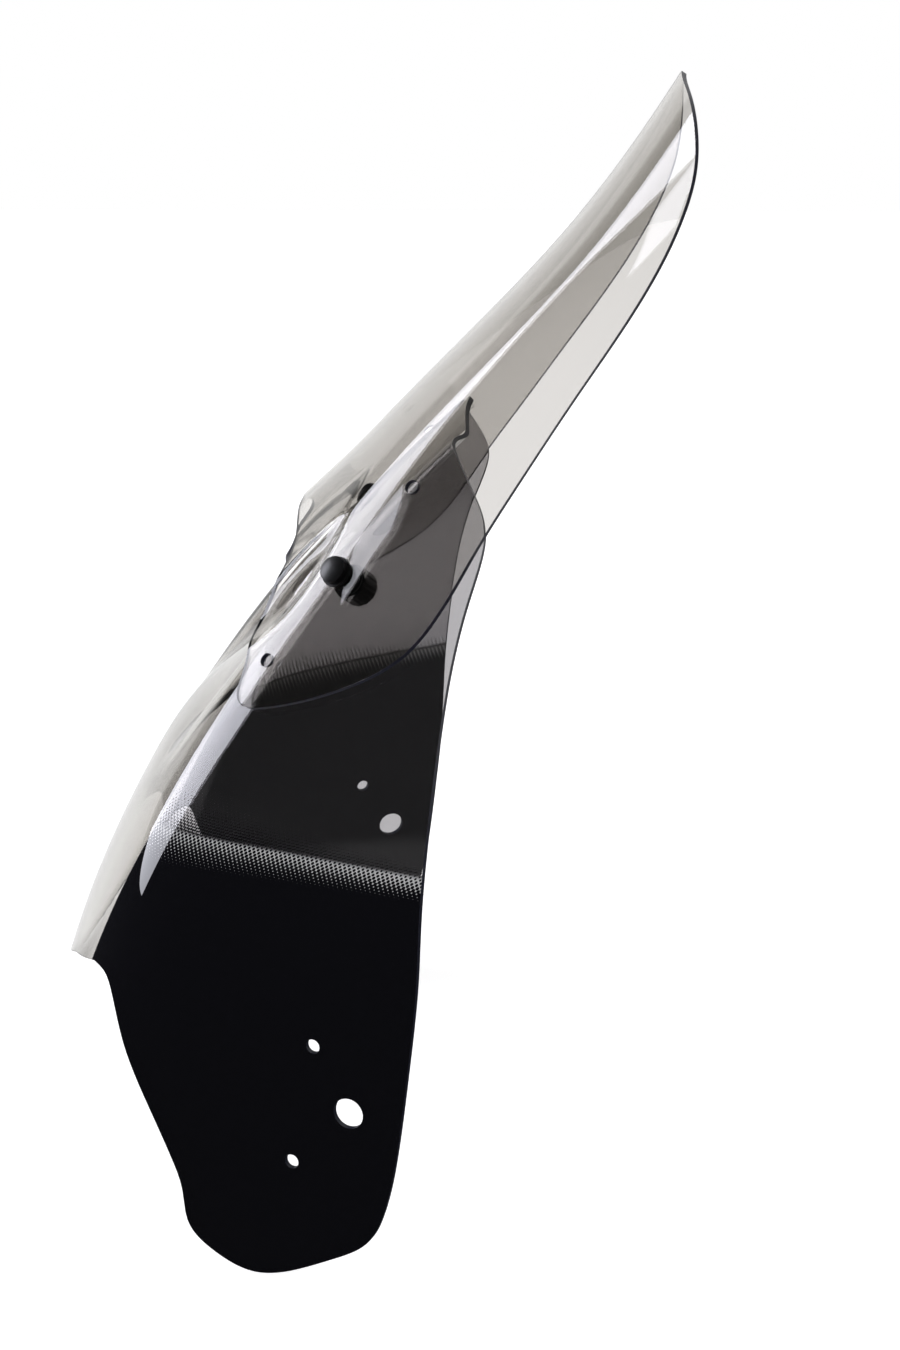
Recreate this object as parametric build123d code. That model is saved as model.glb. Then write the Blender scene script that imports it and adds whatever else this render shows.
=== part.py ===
"""Touring windscreen for a motorcycle: a wrap-around base screen with printed wings and an
adjustable spoiler blade, held by a screw and hand knob on each side.

Frame, millimetres: X across (mirror plane X = 0), Y to the rear, Z up. The origin is the midpoint
between the two large wing holes. Both sheets follow one master form: level sections, each a curve
whose direction turns slowly over the front, quickly at the shoulder and hardly at all down the side.
A place on the form is given by its height and its arc length from the centre line.
"""
from build123d import *
import functools
import math
import os

# ---- master form: one value per height station -----------------------------------------------
STATION_HEIGHTS = (-110.0, 40.0, 160.0, 310.0, 410.0, 510.0)
CENTRE_SETBACK = (-205.0, -162.0, -99.0, 18.0, 114.0, 184.0)  # Y of the centre line
SHOULDER_ARC = (132.0, 124.0, 104.0, 72.0, 62.0, 52.0)  # arc length from centre to shoulder
CROWN_ANGLE = (22.0, 22.0, 18.0, 34.0, 36.0, 30.0)  # degrees turned before the shoulder
SIDE_ANGLE = (70.0, 68.0, 62.0, 70.0, 62.0, 50.0)  # degrees of the side panel
SHOULDER_LENGTH = (34.0, 30.0, 26.0, 26.0, 34.0, 40.0)  # arc length that the shoulder bend takes
SHOULDER_SHARPNESS = 1.2
FORM_MARGIN = 10.0  # how far the form runs past the outlines
ARC_STEP = 1.0  # step of the section's integration
NORMAL_STEP = 2.0  # step of the finite difference that gives the normal

# ---- sheets -----------------------------------------------------------------------------------
SHEET_THICKNESS = 3.0
SHEET_GAP = 5.0  # clear gap between the sheets at the shoulders
CHANNEL_DEPTH = 16.0  # air channel pressed into the base under the blade
CHANNEL_FLOOR_ARC = 44.0
CHANNEL_RIM_ARC = 80.0
CHANNEL_START_HEIGHT = 120.0
CHANNEL_FULL_HEIGHT = 220.0
HOOD_RISE = 7.0  # how far the blade's lower middle stands proud
HOOD_ARC = 62.0
HOOD_FULL_HEIGHT = 230.0
HOOD_END_HEIGHT = 310.0
DENT_DEPTH = 3.4  # teardrop dent beside each row of holes
DENT_INSET = 20.0  # arc length from the row's middle hole in to the dent
DENT_DROP = 9.0  # how far below that hole the dent lies
DENT_HALF_WIDTH = 15.0
DENT_HALF_HEIGHT = 36.0
DENT_LEAN = -0.2
DENT_TAPER = 0.45

# ---- outlines, as (arc length, height) on the form, one half, from the centre --------------
BASE_FRONT_EDGE = ((0.0, 2.0), (30.0, 10.0), (61.0, 25.0), (92.0, 37.0), (108.0, 43.0))
WING_FRONT_EDGE = (
    (108.0, 43.0), (122.0, 42.0), (133.0, 33.0),
    (149.0, 12.0), (174.0, -18.0), (199.0, -48.0),
)
WING_TIP_EDGE = (
    (199.0, -48.0), (209.0, -63.0), (217.0, -80.0),
    (236.0, -93.0), (261.0, -99.0), (300.0, -82.0),
)
WING_REAR_EDGE = (
    (300.0, -82.0), (317.0, -67.0), (320.0, -50.0), (317.0, -19.0),
    (306.0, 31.0), (291.0, 78.0), (275.0, 110.0),
)
SIDE_REAR_EDGE = (
    (275.0, 110.0), (252.0, 146.0), (224.0, 180.0),
    (193.0, 213.0), (163.0, 247.0), (136.0, 277.0),
)
BASE_TOP_EDGE = ((136.0, 277.0), (115.0, 291.0), (92.0, 304.0), (74.0, 314.0), (50.0, 326.0), (0.0, 338.0))
BLADE_NOTCH_EDGE = (
    (0.0, 263.0), (28.0, 258.0), (46.0, 250.0), (64.0, 228.0),
    (78.0, 213.0), (93.0, 200.0), (102.0, 189.0),
)
BLADE_LOBE_EDGE = (
    (102.0, 189.0), (109.0, 185.0), (124.0, 187.0),
    (148.0, 198.0), (165.0, 217.0), (162.0, 235.0),
)
BLADE_SIDE_EDGE = (
    (162.0, 235.0), (146.0, 267.0), (130.0, 300.0),
    (112.0, 340.0), (96.0, 382.0), (79.0, 423.0),
)
BLADE_TOP_EDGE = ((79.0, 423.0), (68.0, 443.0), (55.0, 459.0), (30.0, 478.0), (0.0, 488.0))
OUTLINE_MARGIN = 60.0  # how far the outline tools reach in front of the sheets
FORM_ARC = max(arc for arc, height in WING_REAR_EDGE) + FORM_MARGIN  # the form's arc length on each side

# ---- wing holes -------------------------------------------------------------------------------
MAIN_HOLE_RADIUS = 8.0
SMALL_HOLE_RADIUS = 3.75
UPPER_SMALL_HOLE = (-18.0, 32.0)  # (Y, Z) from the main hole
LOWER_SMALL_HOLE = (-30.0, -33.0)

# ---- fasteners --------------------------------------------------------------------------------
ROW_ARC = 92.0  # place of the middle hole of each row, where the fastener sits
ROW_HEIGHT = 249.0
ROW_LEAN = -0.21  # arc length per millimetre of height along the row
ROW_PITCH = 57.0
ROW_HOLE_RADIUS = 3.6
THREAD_RADIUS = 3.0
THREAD_CLEARANCE = 0.06
BUSH_RADIUS = 6.5
BUSH_CLEARANCE = 0.25
WASHER_RADIUS = 8.0
CAP_WASHER_STAND = 1.2  # rubber thickness left between sheet and flange at the tightest place
HEAD_RADIUS = 7.0
HEAD_HEIGHT = 2.6
CAP_WALL = 1.0
CAP_DOME_RISE = 1.6
INNER_WASHER_STAND = 1.6
STEEL_WASHER_THICKNESS = 1.2
KNOB_RADIUS = 9.5
KNOB_LENGTH = 12.5
KNOB_GRIP_COUNT = 12
KNOB_GRIP_RADIUS = 1.3
KNOB_EDGE_FILLET = 1.0
INSERT_RADIUS = 4.5
INSERT_LENGTH = 8.0
SCREW_END_GAP = 1.5  # from the screw's end to the bottom of the knob's blind hole
DRILL_REACH = 12.0

# ---- grids ------------------------------------------------------------------------------------
BASE_GRID_STEPS = (10.0, 14.0)  # along the arc, and in height
BASE_GRID_HEIGHTS = (-112.0, 356.0)
BLADE_GRID_STEPS = (6.0, 10.0)
BLADE_GRID_HEIGHTS = (170.0, 506.0)
BLADE_GRID_ARC = 186.0


def natural_spline(stations, values):
    """A smooth curve through the values at the stations, straight beyond both ends."""
    count = len(stations)
    steps = [stations[i + 1] - stations[i] for i in range(count - 1)]
    slopes = [(values[i + 1] - values[i]) / steps[i] for i in range(count - 1)]
    upper, bend = [0.0], [0.0]
    for i in range(1, count - 1):
        pivot = 2.0 * (steps[i - 1] + steps[i]) - steps[i - 1] * upper[-1]
        bend.append((6.0 * (slopes[i] - slopes[i - 1]) - steps[i - 1] * bend[-1]) / pivot)
        upper.append(steps[i] / pivot)
    curvature = [0.0] * count
    for i in range(count - 2, 0, -1):
        curvature[i] = bend[i] - upper[i] * curvature[i + 1]

    def value(place):
        i = max(0, min(count - 2, sum(1 for s in stations[1:] if s <= place)))
        a, c, h = stations[i + 1] - place, place - stations[i], steps[i]
        cubic = (curvature[i] * a**3 + curvature[i + 1] * c**3) / (6.0 * h)
        near = (values[i] / h - curvature[i] * h / 6.0) * a
        return cubic + near + (values[i + 1] / h - curvature[i + 1] * h / 6.0) * c

    return value


centre_setback = natural_spline(STATION_HEIGHTS, CENTRE_SETBACK)
shoulder_arc = natural_spline(STATION_HEIGHTS, SHOULDER_ARC)
crown_angle = natural_spline(STATION_HEIGHTS, CROWN_ANGLE)
side_angle = natural_spline(STATION_HEIGHTS, SIDE_ANGLE)
shoulder_length = natural_spline(STATION_HEIGHTS, SHOULDER_LENGTH)


def smooth(value):
    """0 below 0, 1 above 1, and an even S between, with no jump in slope or curvature."""
    value = max(0.0, min(1.0, value))
    return value**3 * (10.0 - 15.0 * value + 6.0 * value * value)


@functools.cache
def section(height):
    """The level section at a height, as X and Y at every ARC_STEP from the centre line."""
    shoulder, crown = shoulder_arc(height), math.radians(crown_angle(height))
    side, length = math.radians(side_angle(height)), shoulder_length(height)
    x, y, places = 0.0, centre_setback(height), []
    for step in range(int(FORM_ARC / ARC_STEP) + 2):
        places.append((x, y))
        arc = (step + 0.5) * ARC_STEP
        turned = 0.5 + 0.5 * math.tanh(SHOULDER_SHARPNESS * (arc - shoulder) / length)
        angle = crown * arc / shoulder * (1.0 - turned) + side * turned
        x += math.cos(angle) * ARC_STEP
        y += math.sin(angle) * ARC_STEP
    return places


def master_point(arc, height):
    """A point of the master form."""
    places = section(height)
    along = min(abs(arc) / ARC_STEP, len(places) - 1.001)
    low = int(along)
    part = along - low
    x = places[low][0] * (1.0 - part) + places[low + 1][0] * part
    y = places[low][1] * (1.0 - part) + places[low + 1][1] * part
    return Vector(math.copysign(x, arc), y, height)


def master_normal(arc, height):
    """The master form's outward normal, to the front and the sides."""
    across = master_point(arc + NORMAL_STEP, height) - master_point(arc - NORMAL_STEP, height)
    upward = master_point(arc, height + NORMAL_STEP) - master_point(arc, height - NORMAL_STEP)
    return across.cross(upward).normalized()


def channel(arc, height):
    """Depth of the air channel pressed into the base."""
    rise = smooth((height - CHANNEL_START_HEIGHT) / (CHANNEL_FULL_HEIGHT - CHANNEL_START_HEIGHT))
    wall = 1.0 - smooth((abs(arc) - CHANNEL_FLOOR_ARC) / (CHANNEL_RIM_ARC - CHANNEL_FLOOR_ARC))
    return CHANNEL_DEPTH * rise * wall


def dent(arc, height):
    """Depth of the blade's teardrop dent, blunt below and pointed above."""
    rise = height - (ROW_HEIGHT - DENT_DROP)
    up = rise / DENT_HALF_HEIGHT
    across = abs(arc) - (ROW_ARC - DENT_INSET) - DENT_LEAN * rise
    width = DENT_HALF_WIDTH * (1.0 - DENT_TAPER * min(up, 1.0))
    return DENT_DEPTH * smooth(1.6 * (1.0 - math.hypot(up, across / width)))


def base_proud(arc, height):
    """How far the base's middle surface stands out from the master form."""
    return -channel(arc, height)


def blade_proud(arc, height):
    """How far the blade's middle surface stands out from the master form."""
    fade = smooth((HOOD_END_HEIGHT - height) / (HOOD_END_HEIGHT - HOOD_FULL_HEIGHT))
    hood = HOOD_RISE * smooth(1.0 - abs(arc) / HOOD_ARC) * fade
    return SHEET_GAP + SHEET_THICKNESS + hood - dent(arc, height)


def sheet_point(arc, height, proud):
    """A point on a sheet's middle surface."""
    return master_point(arc, height) + master_normal(arc, height) * proud(arc, height)


def grid_values(low, high, step):
    """Evenly spread values from low to high, about a step apart."""
    count = math.ceil((high - low) / step)
    return [low + (high - low) * i / count for i in range(count + 1)]


def skin(proud, reach, heights, steps, side):
    """One face of an untrimmed sheet, lofted through level curves: outer side (+1) or inner side (-1)."""
    arcs = grid_values(-reach, reach, steps[0])
    rows = grid_values(heights[0], heights[1], steps[1])
    stand = side * SHEET_THICKNESS / 2.0

    def place(arc, height):
        return sheet_point(arc, height, proud) + master_normal(arc, height) * stand

    shares = [i / (len(arcs) - 1) for i in range(len(arcs))]
    curves = [Edge.make_spline([place(arc, height) for arc in arcs], parameters=shares) for height in rows]
    return Shell.make_loft([Wire([curve]) for curve in curves]).faces()[0]


def full_sheet(proud, reach, heights, steps):
    """An untrimmed sheet: two skins closed along their four edges."""
    outer, inner = (skin(proud, reach, heights, steps, side) for side in (1, -1))
    rims = []
    for edge in outer.outer_wire().edges():
        partner = min(inner.outer_wire().edges(), key=lambda e: (e.center() - edge.center()).length)
        rims.append(Face.make_surface_from_curves(edge, partner))
    return Solid(Shell(Face.sew_faces([outer, inner] + rims)[0]))


def outline_edges(outline, proud):
    """A stretch of outline in the side view, as a smooth curve on the sheet."""
    places = [sheet_point(arc, height, proud) for arc, height in outline]
    return Edge.make_spline([Vector(0, p.Y, p.Z) for p in places])


def side_prism(edges, front, reach):
    """The side view's closed outline, carried across the whole width."""
    start, end = edges[0].position_at(0), edges[-1].position_at(1)
    closing = Polyline(end, *front, start).edges()
    face = Face(Wire(edges + list(closing)))
    return extrude(face, amount=reach, dir=(1, 0, 0), both=True)


def base_outline():
    """The base's outline tool: front edge, one smooth edge round the wing and up, and the top."""
    wing = WING_FRONT_EDGE + WING_TIP_EDGE[1:] + WING_REAR_EDGE[1:] + SIDE_REAR_EDGE[1:] + BASE_TOP_EDGE[1:]
    edges = [outline_edges(BASE_FRONT_EDGE, base_proud), outline_edges(wing, base_proud)]
    top, low = edges[1].position_at(1), edges[0].position_at(0)
    front = [Vector(0, top.Y - OUTLINE_MARGIN, top.Z), Vector(0, low.Y - OUTLINE_MARGIN, low.Z)]
    return side_prism(edges, front, FORM_ARC)


def blade_outline():
    """The blade's outline tool: notch and lobe below, side edge and rounded top."""
    lobe = BLADE_NOTCH_EDGE + BLADE_LOBE_EDGE[1:] + BLADE_SIDE_EDGE[1:] + BLADE_TOP_EDGE[1:]
    edges = [outline_edges(lobe, blade_proud)]
    top, low = edges[0].position_at(1), edges[0].position_at(0)
    front = [Vector(0, top.Y - OUTLINE_MARGIN, top.Z), Vector(0, low.Y - OUTLINE_MARGIN, low.Z)]
    return side_prism(edges, front, BLADE_GRID_ARC)


def place_on_form(arc, height):
    """A plane at the master form whose local Z is the outward normal."""
    normal = master_normal(arc, height)
    return Plane(origin=master_point(arc, height), x_dir=Vector(0, 0, 1).cross(normal), z_dir=normal)


def solve(function, low, high):
    """Where a rising function crosses zero."""
    for _ in range(50):
        middle = (low + high) / 2.0
        low, high = (middle, high) if function(middle) < 0.0 else (low, middle)
    return (low + high) / 2.0


def rod(plane, radius, low, high):
    """A cylinder along a plane's local Z, from low to high."""
    return plane * Pos(0, 0, (low + high) / 2.0) * Cylinder(radius, high - low)


def wing_hole_plane(side):
    """The drilling plane of a wing: at the main hole, on the origin's axis, normal to the wing."""
    arc = solve(lambda a: master_point(a, 0.0).Y, 0.0, FORM_ARC)
    return place_on_form(side * arc, 0.0)


def wing_tools(side):
    """The drills of one wing: the main hole and the two small ones beside it."""
    plane = wing_hole_plane(side)
    tools = [rod(plane, MAIN_HOLE_RADIUS, -DRILL_REACH, DRILL_REACH)]
    for back, up in (UPPER_SMALL_HOLE, LOWER_SMALL_HOLE):
        arc = solve(lambda a: master_point(a, up).Y - back, 0.0, FORM_ARC)
        centre = master_point(side * arc, up)
        drill = Plane(centre, plane.x_dir, plane.z_dir)
        tools.append(rod(drill, SMALL_HOLE_RADIUS, -DRILL_REACH, DRILL_REACH))
    return tools


def row_arc(height):
    """Arc length of the hole row's line at a height."""
    return ROW_ARC + ROW_LEAN * (height - ROW_HEIGHT)


def row_heights():
    """Heights of the row's three holes, a pitch apart along the blade."""
    def point(height):
        return sheet_point(row_arc(height), height, blade_proud)

    middle = point(ROW_HEIGHT)
    upper = solve(lambda h: (point(h) - middle).length - ROW_PITCH, ROW_HEIGHT, ROW_HEIGHT + ROW_PITCH)
    lower = solve(lambda h: ROW_PITCH - (point(h) - middle).length, ROW_HEIGHT - ROW_PITCH, ROW_HEIGHT)
    return lower, ROW_HEIGHT, upper


def fastener_plane(side):
    """The fastener's plane: origin on the base's middle surface, local Z outward."""
    return place_on_form(side * ROW_ARC, ROW_HEIGHT)


def row_tools(side, heights):
    """Drills for holes of one row, at the given heights."""
    planes = [place_on_form(side * row_arc(height), height) for height in heights]
    return [rod(plane, ROW_HOLE_RADIUS, -DRILL_REACH, DRILL_REACH + SHEET_GAP) for plane in planes]


def make_sheets():
    """The base screen and the spoiler blade, with all their holes."""
    base = full_sheet(base_proud, FORM_ARC - ARC_STEP, BASE_GRID_HEIGHTS, BASE_GRID_STEPS) & base_outline()
    blade = full_sheet(blade_proud, BLADE_GRID_ARC, BLADE_GRID_HEIGHTS, BLADE_GRID_STEPS) & blade_outline()
    for side in (1, -1):
        for tool in wing_tools(side) + row_tools(side, [ROW_HEIGHT]):
            base = base - tool
        for tool in row_tools(side, row_heights()):
            blade = blade - tool
    return base, blade


# Heights along the fastener's axis, from the base's middle surface and outwards positive.
BASE_INNER = -SHEET_THICKNESS / 2.0
BLADE_MIDDLE = SHEET_GAP + SHEET_THICKNESS
BLADE_OUTER = BLADE_MIDDLE + SHEET_THICKNESS / 2.0
HEAD_SEAT = BLADE_OUTER + CAP_WASHER_STAND
STEEL_SEAT = BASE_INNER - INNER_WASHER_STAND
KNOB_SEAT = STEEL_SEAT - STEEL_WASHER_THICKNESS
INSERT_END = KNOB_SEAT - INSERT_LENGTH
SCREW_END = INSERT_END - THREAD_CLEARANCE
BLIND_END = SCREW_END - SCREW_END_GAP


def make_rubbers(plane, base, blade):
    """The three rubber rings, moulded to the sheets that they touch."""
    bore = rod(plane, THREAD_RADIUS + BUSH_CLEARANCE, -DRILL_REACH, DRILL_REACH + SHEET_GAP)
    cap_washer = rod(plane, WASHER_RADIUS, BLADE_MIDDLE, HEAD_SEAT) - blade - bore
    bush = rod(plane, BUSH_RADIUS, 0.0, BLADE_MIDDLE) - base - blade - bore
    inner_washer = rod(plane, WASHER_RADIUS, STEEL_SEAT, 0.0) - base - bore
    return cap_washer, bush, inner_washer


def piece_at(plane, shape, height):
    """The solid of a shape whose centre is nearest to a height on the plane's local Z."""
    target = (plane * Pos(0, 0, height)).position
    return min(shape.solids(), key=lambda solid: (solid.center() - target).length)


def make_screw(plane):
    """The screw: low head and threaded shank."""
    head = rod(plane, HEAD_RADIUS - CAP_WALL, HEAD_SEAT, HEAD_SEAT + HEAD_HEIGHT)
    return head + rod(plane, THREAD_RADIUS, SCREW_END, HEAD_SEAT)


def make_cover_cap(plane):
    """The domed cap pressed over the screw's head."""
    crown = HEAD_SEAT + HEAD_HEIGHT + CAP_WALL
    height = HEAD_HEIGHT + CAP_WALL + CAP_DOME_RISE
    sphere = (HEAD_RADIUS**2 + CAP_DOME_RISE**2) / (2.0 * CAP_DOME_RISE)
    barrel = Cylinder(HEAD_RADIUS, height, align=(Align.CENTER, Align.CENTER, Align.MIN))
    barrel = barrel & Pos(0, 0, height - sphere) * Sphere(sphere)
    pocket = rod(plane, HEAD_RADIUS - CAP_WALL, HEAD_SEAT, crown - CAP_WALL)
    return plane * Pos(0, 0, HEAD_SEAT) * barrel - pocket


def make_steel_washer(plane):
    """The steel washer under the knob."""
    washer = rod(plane, WASHER_RADIUS, KNOB_SEAT, STEEL_SEAT)
    return washer - rod(plane, THREAD_RADIUS + BUSH_CLEARANCE, KNOB_SEAT, STEEL_SEAT)


def make_knob(plane):
    """The hand knob with its grip grooves and the blind hole for insert and screw."""
    knob = Cylinder(KNOB_RADIUS, KNOB_LENGTH, align=(Align.CENTER, Align.CENTER, Align.MAX))
    knob = fillet(knob.edges().filter_by(GeomType.CIRCLE), KNOB_EDGE_FILLET)
    for place in PolarLocations(KNOB_RADIUS + KNOB_GRIP_RADIUS / 2.0, KNOB_GRIP_COUNT):
        knob -= Pos(0, 0, -KNOB_LENGTH / 2.0) * place * Cylinder(KNOB_GRIP_RADIUS, KNOB_LENGTH)
    knob = plane * Pos(0, 0, KNOB_SEAT) * knob
    knob -= rod(plane, INSERT_RADIUS, INSERT_END, KNOB_SEAT)
    return knob - rod(plane, THREAD_RADIUS + BUSH_CLEARANCE, BLIND_END, INSERT_END)


def make_insert(plane):
    """The knob's threaded insert."""
    return rod(plane, INSERT_RADIUS, INSERT_END, KNOB_SEAT) - rod(
        plane, THREAD_RADIUS + THREAD_CLEARANCE, INSERT_END, KNOB_SEAT
    )


def make_parts():
    """Every piece by its node name."""
    base, blade = make_sheets()
    parts = {"base_screen": base, "spoiler_blade": blade}
    for name, side in (("left", 1), ("right", -1)):
        plane = fastener_plane(side)
        cap_washer, bush, inner_washer = make_rubbers(plane, base, blade)
        parts[f"{name}_cap_washer"] = piece_at(plane, cap_washer, HEAD_SEAT)
        parts[f"{name}_spacer_bush"] = piece_at(plane, bush, BLADE_MIDDLE / 2.0)
        parts[f"{name}_inner_washer"] = piece_at(plane, inner_washer, STEEL_SEAT)
        parts[f"{name}_screw"] = make_screw(plane)
        parts[f"{name}_cover_cap"] = make_cover_cap(plane)
        parts[f"{name}_steel_washer"] = make_steel_washer(plane)
        parts[f"{name}_hand_knob"] = make_knob(plane)
        parts[f"{name}_knob_insert"] = make_insert(plane)
    return parts


os.makedirs("parts", exist_ok=True)
for node, shape in make_parts().items():
    export_step(shape, f"parts/{node}.step")
    print(node, round(shape.volume))
for label, plane in (("wing", wing_hole_plane(1)), ("fastener", fastener_plane(1))):
    print(label, "plane at", plane.origin, "outward", plane.z_dir)
print("row heights", row_heights())
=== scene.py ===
"""Touring windscreen: a tinted base screen with printed wings, a spoiler blade and two fastener stacks.

Both sheets follow one master form, worked out here in millimetres as in the frame and put into
meshes in metres. A place on the form is an arc length from the centre line and a height.
"""
from __future__ import annotations

import logging
import math
from dataclasses import dataclass, field
from enum import Enum

import bmesh
import bpy
import numpy as np
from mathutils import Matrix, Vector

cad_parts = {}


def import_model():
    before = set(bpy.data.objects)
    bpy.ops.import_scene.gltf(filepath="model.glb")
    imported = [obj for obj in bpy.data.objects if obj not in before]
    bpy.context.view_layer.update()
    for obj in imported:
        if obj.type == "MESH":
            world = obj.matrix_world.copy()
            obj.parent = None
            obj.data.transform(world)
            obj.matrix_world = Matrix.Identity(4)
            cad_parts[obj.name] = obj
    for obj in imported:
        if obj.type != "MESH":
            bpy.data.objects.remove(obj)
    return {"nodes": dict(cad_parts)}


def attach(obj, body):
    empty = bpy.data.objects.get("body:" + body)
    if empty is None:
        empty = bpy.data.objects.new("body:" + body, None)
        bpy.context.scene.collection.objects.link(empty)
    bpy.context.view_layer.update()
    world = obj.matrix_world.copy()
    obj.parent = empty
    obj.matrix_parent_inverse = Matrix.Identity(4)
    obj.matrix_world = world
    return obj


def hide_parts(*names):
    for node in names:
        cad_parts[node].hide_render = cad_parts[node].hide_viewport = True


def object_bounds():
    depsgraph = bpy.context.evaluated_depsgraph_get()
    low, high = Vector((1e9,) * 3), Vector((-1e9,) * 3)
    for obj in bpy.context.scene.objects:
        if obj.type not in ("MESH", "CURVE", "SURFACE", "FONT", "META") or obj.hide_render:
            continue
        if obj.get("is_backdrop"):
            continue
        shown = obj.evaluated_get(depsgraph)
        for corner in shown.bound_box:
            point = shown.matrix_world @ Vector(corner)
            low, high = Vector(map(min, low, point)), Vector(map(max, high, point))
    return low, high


LOG = logging.getLogger("windscreen")
MM = 0.001
WELD = 1e-6  # metres within which two points of a mesh are one
BISECTIONS = 40
Points = tuple[tuple[float, float], ...]


class Side(Enum):
    """The two mirror-image sides, with the sign of their X."""

    LEFT = 1
    RIGHT = -1

    @property
    def label(self) -> str:
        """The word that starts the names of this side's nodes."""
        return self.name.lower()


class Rim(Enum):
    """Material slots of a sheet's mesh."""

    FACE = 0
    EDGE = 1


# ---- the master form ---------------------------------------------------------------------------


def natural_spline(stations: np.ndarray, values: np.ndarray, places: np.ndarray) -> np.ndarray:
    """Evaluate the natural cubic spline through values at stations.

    Each span is a cubic whose second derivative runs straight between the stations' curvatures,
    which solve a tridiagonal system and are zero at both ends.

    Args:
        stations: rising places, shape (n,).
        values: values at the stations, shape (n,) or (n, k).
        places: where to evaluate, any shape.

    Returns:
        The spline's values, shaped like places, with k at the end if values has it.
    """
    values = np.asarray(values, float)
    count = len(stations)
    steps = np.diff(stations)
    system = np.eye(count)
    right = np.zeros_like(values)
    for i in range(1, count - 1):
        system[i, i - 1 : i + 2] = steps[i - 1], 2.0 * (steps[i - 1] + steps[i]), steps[i]
        right[i] = 6.0 * ((values[i + 1] - values[i]) / steps[i] - (values[i] - values[i - 1]) / steps[i - 1])
    bend = np.linalg.solve(system, right)
    i = np.clip(np.searchsorted(stations, places, side="right") - 1, 0, count - 2)
    step = steps[i]
    after = np.asarray(places) - stations[i]
    before = step - after
    if values.ndim > 1:
        step, after, before = step[..., None], after[..., None], before[..., None]
    cubic = (bend[i] * before**3 + bend[i + 1] * after**3) / (6.0 * step)
    low = (values[i] / step - bend[i] * step / 6.0) * before
    high = (values[i + 1] / step - bend[i + 1] * step / 6.0) * after
    return cubic + low + high


def smooth(value: np.ndarray) -> np.ndarray:
    """An even S from 0 to 1 with no jump in slope or curvature: 10v^3 - 15v^4 + 6v^5."""
    value = np.clip(value, 0.0, 1.0)
    return value**3 * (10.0 - 15.0 * value + 6.0 * value**2)


@dataclass(frozen=True)
class MasterForm:
    """Level sections whose direction turns slowly over the front and quickly at the shoulder."""

    heights: tuple[float, ...] = (-110.0, 40.0, 160.0, 310.0, 410.0, 510.0)
    setback: tuple[float, ...] = (-205.0, -162.0, -99.0, 18.0, 114.0, 184.0)
    shoulder: tuple[float, ...] = (132.0, 124.0, 104.0, 72.0, 62.0, 52.0)
    crown: tuple[float, ...] = (22.0, 22.0, 18.0, 34.0, 36.0, 30.0)
    flank: tuple[float, ...] = (70.0, 68.0, 62.0, 70.0, 62.0, 50.0)
    bend: tuple[float, ...] = (34.0, 30.0, 26.0, 26.0, 34.0, 40.0)
    sharpness: float = 1.2
    nodes: int = 96
    probe: float = 2.0

    def _at(self, values: tuple[float, ...], height: np.ndarray) -> np.ndarray:
        """One of the form's values at any heights."""
        return natural_spline(np.array(self.heights), np.array(values), height)

    def points(self, arc: np.ndarray, height: np.ndarray) -> np.ndarray:
        """Points of the form.

        X and Y are the integrals over arc length of the cosine and sine of the section's
        direction, by Gauss-Legendre quadrature; the direction goes from a crown angle that grows
        evenly to the flank's angle through a hyperbolic tangent at the shoulder.

        Args:
            arc: arc lengths from the centre line, negative on the right-hand side.
            height: heights, shaped like arc.

        Returns:
            Points in millimetres, with X, Y and Z at the end.
        """
        node, weight = np.polynomial.legendre.leggauss(self.nodes)
        share, weight = 0.5 * (node + 1.0), 0.5 * weight
        shoulder = self._at(self.shoulder, height)
        crown, flank = (np.radians(self._at(v, height)) for v in (self.crown, self.flank))
        bend = self._at(self.bend, height)
        reach = np.abs(arc)
        x, y = np.zeros_like(reach), np.zeros_like(reach)
        for part, amount in zip(share, weight):
            along = reach * part
            turned = 0.5 + 0.5 * np.tanh(self.sharpness * (along - shoulder) / bend)
            angle = crown * along / shoulder * (1.0 - turned) + flank * turned
            x += amount * np.cos(angle)
            y += amount * np.sin(angle)
        return np.stack([x * arc, y * reach + self._at(self.setback, height), height], -1)

    def normals(self, arc: np.ndarray, height: np.ndarray) -> np.ndarray:
        """Outward unit normals of the form, by central differences.

        Args:
            arc: arc lengths from the centre line, negative on the right-hand side.
            height: heights, shaped like arc.

        Returns:
            Unit vectors, with X, Y and Z at the end.
        """
        d = self.probe
        across = self.points(arc + d, height) - self.points(arc - d, height)
        upward = self.points(arc, height + d) - self.points(arc, height - d)
        normal = np.cross(across, upward)
        return normal / np.linalg.norm(normal, axis=-1, keepdims=True)


# ---- sheets ------------------------------------------------------------------------------------


def drawn(points: Points, count: int) -> np.ndarray:
    """A smooth curve through outline points, by the length of the chords between them.

    Args:
        points: the outline points in order.
        count: how many places of the curve to give, evenly spaced.

    Returns:
        The places, shape (count, 2).
    """
    knots = np.array(points, float)
    chord = np.concatenate([[0.0], np.cumsum(np.linalg.norm(np.diff(knots, axis=0), axis=1))])
    return natural_spline(chord, knots, np.linspace(0.0, chord[-1], count))


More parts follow.
